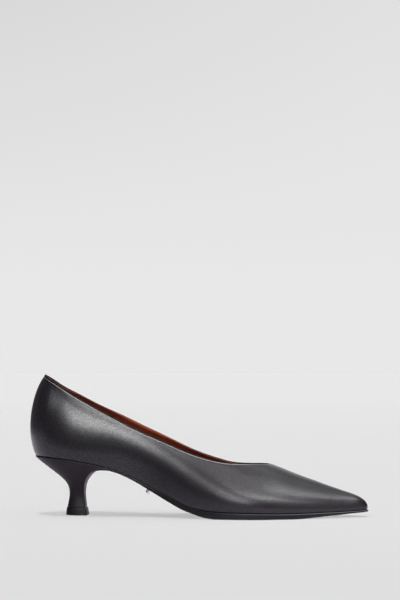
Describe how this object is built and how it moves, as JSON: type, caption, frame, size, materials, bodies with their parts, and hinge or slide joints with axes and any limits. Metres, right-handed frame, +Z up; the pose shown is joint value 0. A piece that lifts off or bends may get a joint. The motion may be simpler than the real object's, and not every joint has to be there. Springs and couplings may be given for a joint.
{
  "type": "kitten heel court shoe",
  "caption": "Strapless pointed-toe court shoe with a hollow smooth leather upper, thin outsole with arch and toe spring, and a low waisted covered heel on its own tip.",
  "frame": {"origin": "on the floor, below the middle of the shoe's box", "axes": "+X to the toe, +Y to the inner side of the foot, +Z up"},
  "size_m": [0.2644, 0.0794, 0.11],
  "materials": {
    "upper_leather": "smooth black calf leather, soft gloss",
    "sock_leather": "smooth reddish brown lining leather",
    "sole": "black sole, satin edge",
    "heel_cover": "black leather wrapped over the heel block",
    "tip_rubber": "matt black",
    "stud_metal": "plain pale metal"
  },
  "bodies": {
    "root": {"upper": "upper_leather", "insole": "sock_leather", "outsole": "sole", "heel": "heel_cover", "heel_tip": "tip_rubber", "waist_stud": "stud_metal"}
  },
  "joints": []
}
